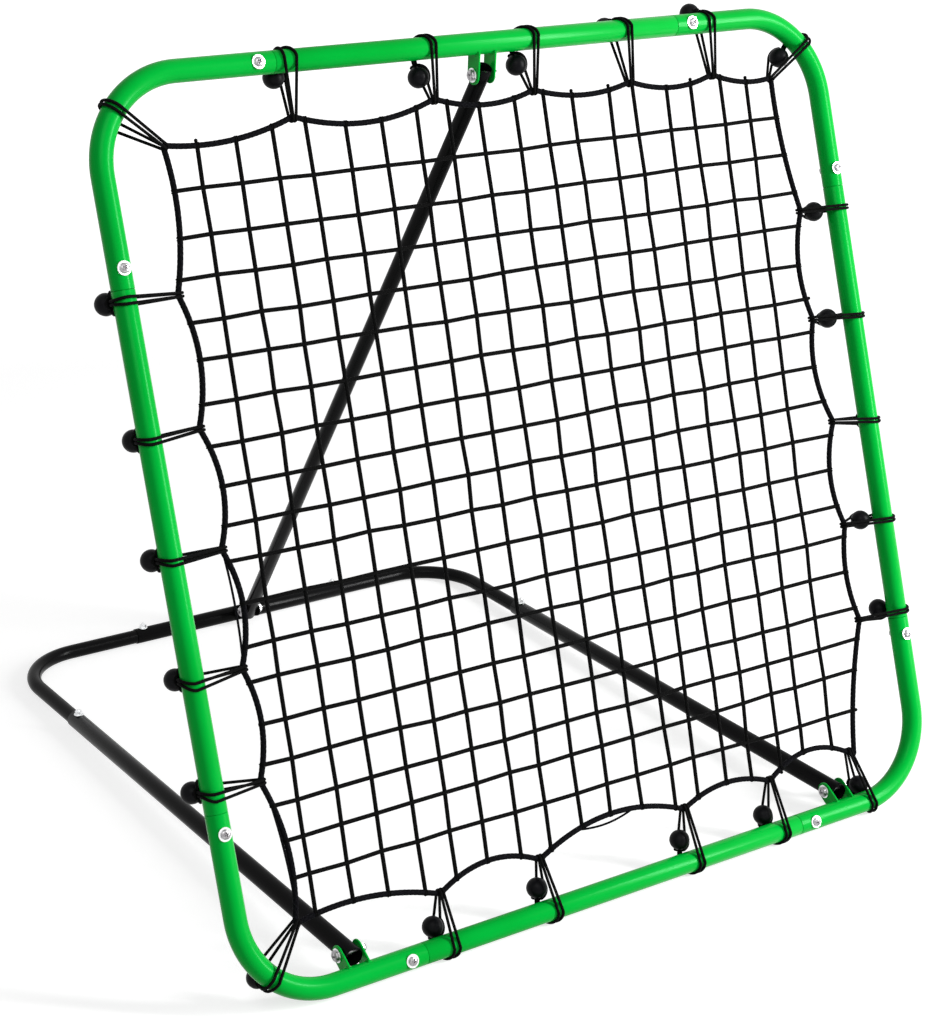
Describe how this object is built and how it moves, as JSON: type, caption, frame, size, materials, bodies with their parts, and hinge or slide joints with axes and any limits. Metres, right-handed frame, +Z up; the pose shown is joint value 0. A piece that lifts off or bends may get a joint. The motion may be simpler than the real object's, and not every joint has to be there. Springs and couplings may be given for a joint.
{
  "type": "rebounder net",
  "caption": "Square rebounder net: a scalloped mesh net held by ball ties in a tube frame that leans back on a U-shaped floor base and one folding rear strut.",
  "frame": {"origin": "on the floor under the middle of the rear tube's flat underside", "axes": "+X to the right as the player faces the net, +Y away from the player towards the rear tube, +Z up"},
  "size_m": [1.017, 0.9245, 0.9488],
  "materials": {
    "green_paint": "bright green gloss powder coat",
    "black_paint": "semi-gloss black powder coat",
    "zinc": "bright zinc plate",
    "net_cord": "black braided net cord",
    "ball_tie": "satin black plastic ball on black elastic cord"
  },
  "bodies": {
    "base": {"base_leg_left": "black_paint", "base_leg_right": "black_paint", "base_corner_left": "black_paint", "base_corner_right": "black_paint", "base_rear_tube": "black_paint", "base_bolt_left_leg": "zinc", "base_bolt_left_rear": "zinc", "base_bolt_right_leg": "zinc", "base_bolt_right_rear": "zinc", "strut_foot_bolt": "zinc", "strut_foot_nut": "zinc"},
    "net_frame": {"frame_top_tube": "green_paint", "frame_bottom_tube": "green_paint", "frame_left_tube": "green_paint", "frame_right_tube": "green_paint", "frame_corner_top_left": "green_paint", "frame_corner_top_right": "green_paint", "frame_corner_bottom_left": "green_paint", "frame_corner_bottom_right": "green_paint", "frame_bolt_top_left_top": "zinc", "frame_bolt_top_left_side": "zinc", "frame_bolt_top_right_top": "zinc", "frame_bolt_top_right_side": "zinc", "frame_bolt_bottom_left_bottom": "zinc", "frame_bolt_bottom_left_side": "zinc", "frame_bolt_bottom_right_bottom": "zinc", "frame_bolt_bottom_right_side": "zinc", "leg_pivot_bolt_left": "zinc", "leg_pivot_nut_left": "zinc", "leg_pivot_bolt_right": "zinc", "leg_pivot_nut_right": "zinc", "strut_top_bolt": "zinc", "strut_top_nut": "zinc", "net": "net_cord", "tie_top_1": "ball_tie", "tie_top_2": "ball_tie", "tie_top_3": "ball_tie", "tie_top_4": "ball_tie", "tie_top_5": "ball_tie", "tie_left_1": "ball_tie", "tie_left_2": "ball_tie", "tie_left_3": "ball_tie", "tie_left_4": "ball_tie", "tie_left_5": "ball_tie", "tie_right_1": "ball_tie", "tie_right_2": "ball_tie", "tie_right_3": "ball_tie", "tie_right_4": "ball_tie", "tie_right_5": "ball_tie", "tie_bottom_1": "ball_tie", "tie_bottom_2": "ball_tie", "tie_bottom_3": "ball_tie", "tie_bottom_4": "ball_tie", "tie_corner_top_left": "ball_tie", "tie_corner_top_right": "ball_tie", "tie_corner_bottom_left": "ball_tie", "tie_corner_bottom_right": "ball_tie"},
    "strut": {"strut_tube": "black_paint"}
  },
  "joints": [
    {"name": "frame_fold", "type": "hinge", "parent": "base", "child": "net_frame", "pos_m": [0, -0.87176, 0.03126], "axis": [1, 0, 0], "range_deg": [-67, 0]},
    {"name": "strut_fold", "type": "hinge", "parent": "net_frame", "child": "strut", "pos_m": [0, -0.55859, 0.89485], "axis": [1, 0, 0], "range_deg": [-50.8, 0]}
  ],
  "couplings": [
    {"joint": "strut_fold", "follows": "frame_fold", "ratio": 0.758}
  ]
}
